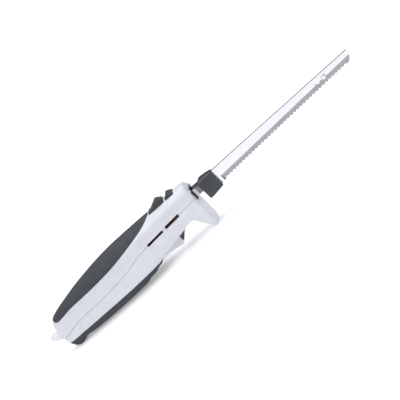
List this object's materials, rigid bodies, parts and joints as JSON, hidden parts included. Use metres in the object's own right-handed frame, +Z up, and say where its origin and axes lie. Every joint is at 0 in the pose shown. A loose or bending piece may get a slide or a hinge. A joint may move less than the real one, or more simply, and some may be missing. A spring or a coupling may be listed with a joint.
{
  "type": "electric uncapping knife",
  "caption": "Mains electric uncapping knife with paired reciprocating serrated blades, split white handle with dark soft grips, trigger, top buttons, finger guard and stored cord.",
  "frame": {"origin": "centre of the bounding box's base, without the cord, on the surface that the heel foot and guard tip stand on", "axes": "+X forward along the blades, +Z up, +Y to the knife's left"},
  "size_m": [0.4441, 0.0934, 0.062],
  "materials": {
    "white_plastic": "glossy moulded plastic with fine texture",
    "soft_grip": "matt soft-touch skin",
    "dark_plastic": "satin moulded plastic",
    "black_seal": "satin moulded rubber",
    "blade_steel": "brushed along the blade, ground bevel",
    "bright_steel": "bright drawn",
    "phenolic": "moulded phenolic, slightly mottled",
    "nylon": "translucent natural nylon",
    "brass": "turned",
    "laminated_iron": "stacked punched sheet, oiled",
    "copper": "enamelled winding wire",
    "carbon": "pressed carbon",
    "cord_jacket": "smooth flexible jacket"
  },
  "bodies": {
    "handle": {"upper_housing": "white_plastic", "lower_housing": "white_plastic", "top_grip": "soft_grip", "bottom_grip": "soft_grip", "nose_seal": "black_seal", "lock_spring": "bright_steel", "release_spring": "bright_steel", "trigger_pin": "bright_steel", "trigger_spring": "bright_steel", "switch_body": "dark_plastic", "gear_frame": "phenolic", "gear_pin": "bright_steel", "stator_core": "laminated_iron", "left_field_coil": "copper", "right_field_coil": "copper", "front_bearing": "brass", "rear_bearing": "brass", "front_bracket": "laminated_iron", "rear_bracket": "laminated_iron", "upper_motor_screw": "bright_steel", "lower_motor_screw": "bright_steel", "left_brush_holder": "brass", "right_brush_holder": "brass", "left_brush": "carbon", "right_brush": "carbon", "front_left_screw": "bright_steel", "front_right_screw": "bright_steel", "rear_left_screw": "bright_steel", "rear_right_screw": "bright_steel", "cord_clamp": "dark_plastic", "strain_relief": "white_plastic", "cord_tube": "cord_jacket", "cord_hank": "cord_jacket", "cord_tie": "dark_plastic", "plug_body": "white_plastic", "left_plug_blade": "brass", "right_plug_blade": "brass"},
    "rotor": {"worm": "brass", "motor_shaft": "bright_steel", "armature_core": "laminated_iron", "front_winding": "copper", "rear_winding": "copper", "commutator": "copper", "fan": "dark_plastic"},
    "gear": {"drive_gear": "nylon"},
    "left_slide": {"left_driver": "phenolic"},
    "right_slide": {"right_driver": "phenolic"},
    "left_blade_unit": {"left_blade": "blade_steel", "left_holder": "dark_plastic", "left_holder_pin": "bright_steel", "blade_rivet": "blade_steel"},
    "right_blade_unit": {"right_blade": "blade_steel", "right_holder": "dark_plastic", "right_holder_pin": "bright_steel"},
    "trigger_lever": {"trigger": "white_plastic", "trigger_pad": "dark_plastic"},
    "plunger": {"switch_plunger": "nylon"},
    "lock": {"lock_button": "dark_plastic"},
    "release": {"release_button": "dark_plastic"}
  },
  "joints": [
    {"name": "rotor_spin", "type": "hinge", "parent": "handle", "child": "rotor", "pos_m": [-0.12, 0, 0.0265], "axis": [1, 0, 0], "range_deg": [-995, 995]},
    {"name": "gear_turn", "type": "hinge", "parent": "handle", "child": "gear", "pos_m": [-0.068, 0, 0.0405], "axis": [0, 1, 0], "range_deg": [-91, 91]},
    {"name": "left_stroke", "type": "slide", "parent": "handle", "child": "left_slide", "axis": [1, 0, 0], "range_m": [-0.0033, 0.0033]},
    {"name": "right_stroke", "type": "slide", "parent": "handle", "child": "right_slide", "axis": [1, 0, 0], "range_m": [-0.0034, 0.0034]},
    {"name": "right_blade_pull", "type": "slide", "parent": "right_slide", "child": "right_blade_unit", "axis": [1, 0, 0], "range_m": [0, 0.03]},
    {"name": "left_blade_pull", "type": "slide", "parent": "left_slide", "child": "left_blade_unit", "axis": [1, 0, 0], "range_m": [0, 0.0301]},
    {"name": "trigger_press", "type": "hinge", "parent": "handle", "child": "trigger_lever", "pos_m": [-0.0665, 0, 0.0185], "axis": [0, -1, 0], "range_deg": [0, 8.6], "stiffness_Nm_per_rad": 0.4, "deforming": ["trigger_spring"]},
    {"name": "plunger_press", "type": "slide", "parent": "handle", "child": "plunger", "axis": [0, 0, 1], "range_m": [0, 0.00248]},
    {"name": "lock_press", "type": "slide", "parent": "handle", "child": "lock", "axis": [0, 0, -1], "range_m": [0, 0.003], "stiffness_N_per_m": 300, "deforming": ["lock_spring"]},
    {"name": "release_press", "type": "slide", "parent": "handle", "child": "release", "axis": [0, 0, -1], "range_m": [0, 0.0025], "stiffness_N_per_m": 300, "deforming": ["release_spring"]}
  ],
  "couplings": [
    {"joint": "rotor_spin", "follows": "left_stroke", "rad_per_m": 5236},
    {"joint": "gear_turn", "follows": "left_stroke", "rad_per_m": 476},
    {"joint": "right_stroke", "follows": "left_stroke", "ratio": -1},
    {"joint": "left_blade_pull", "follows": "right_blade_pull", "ratio": 1},
    {"joint": "trigger_press", "follows": "plunger_press", "rad_per_m": 59.82}
  ]
}
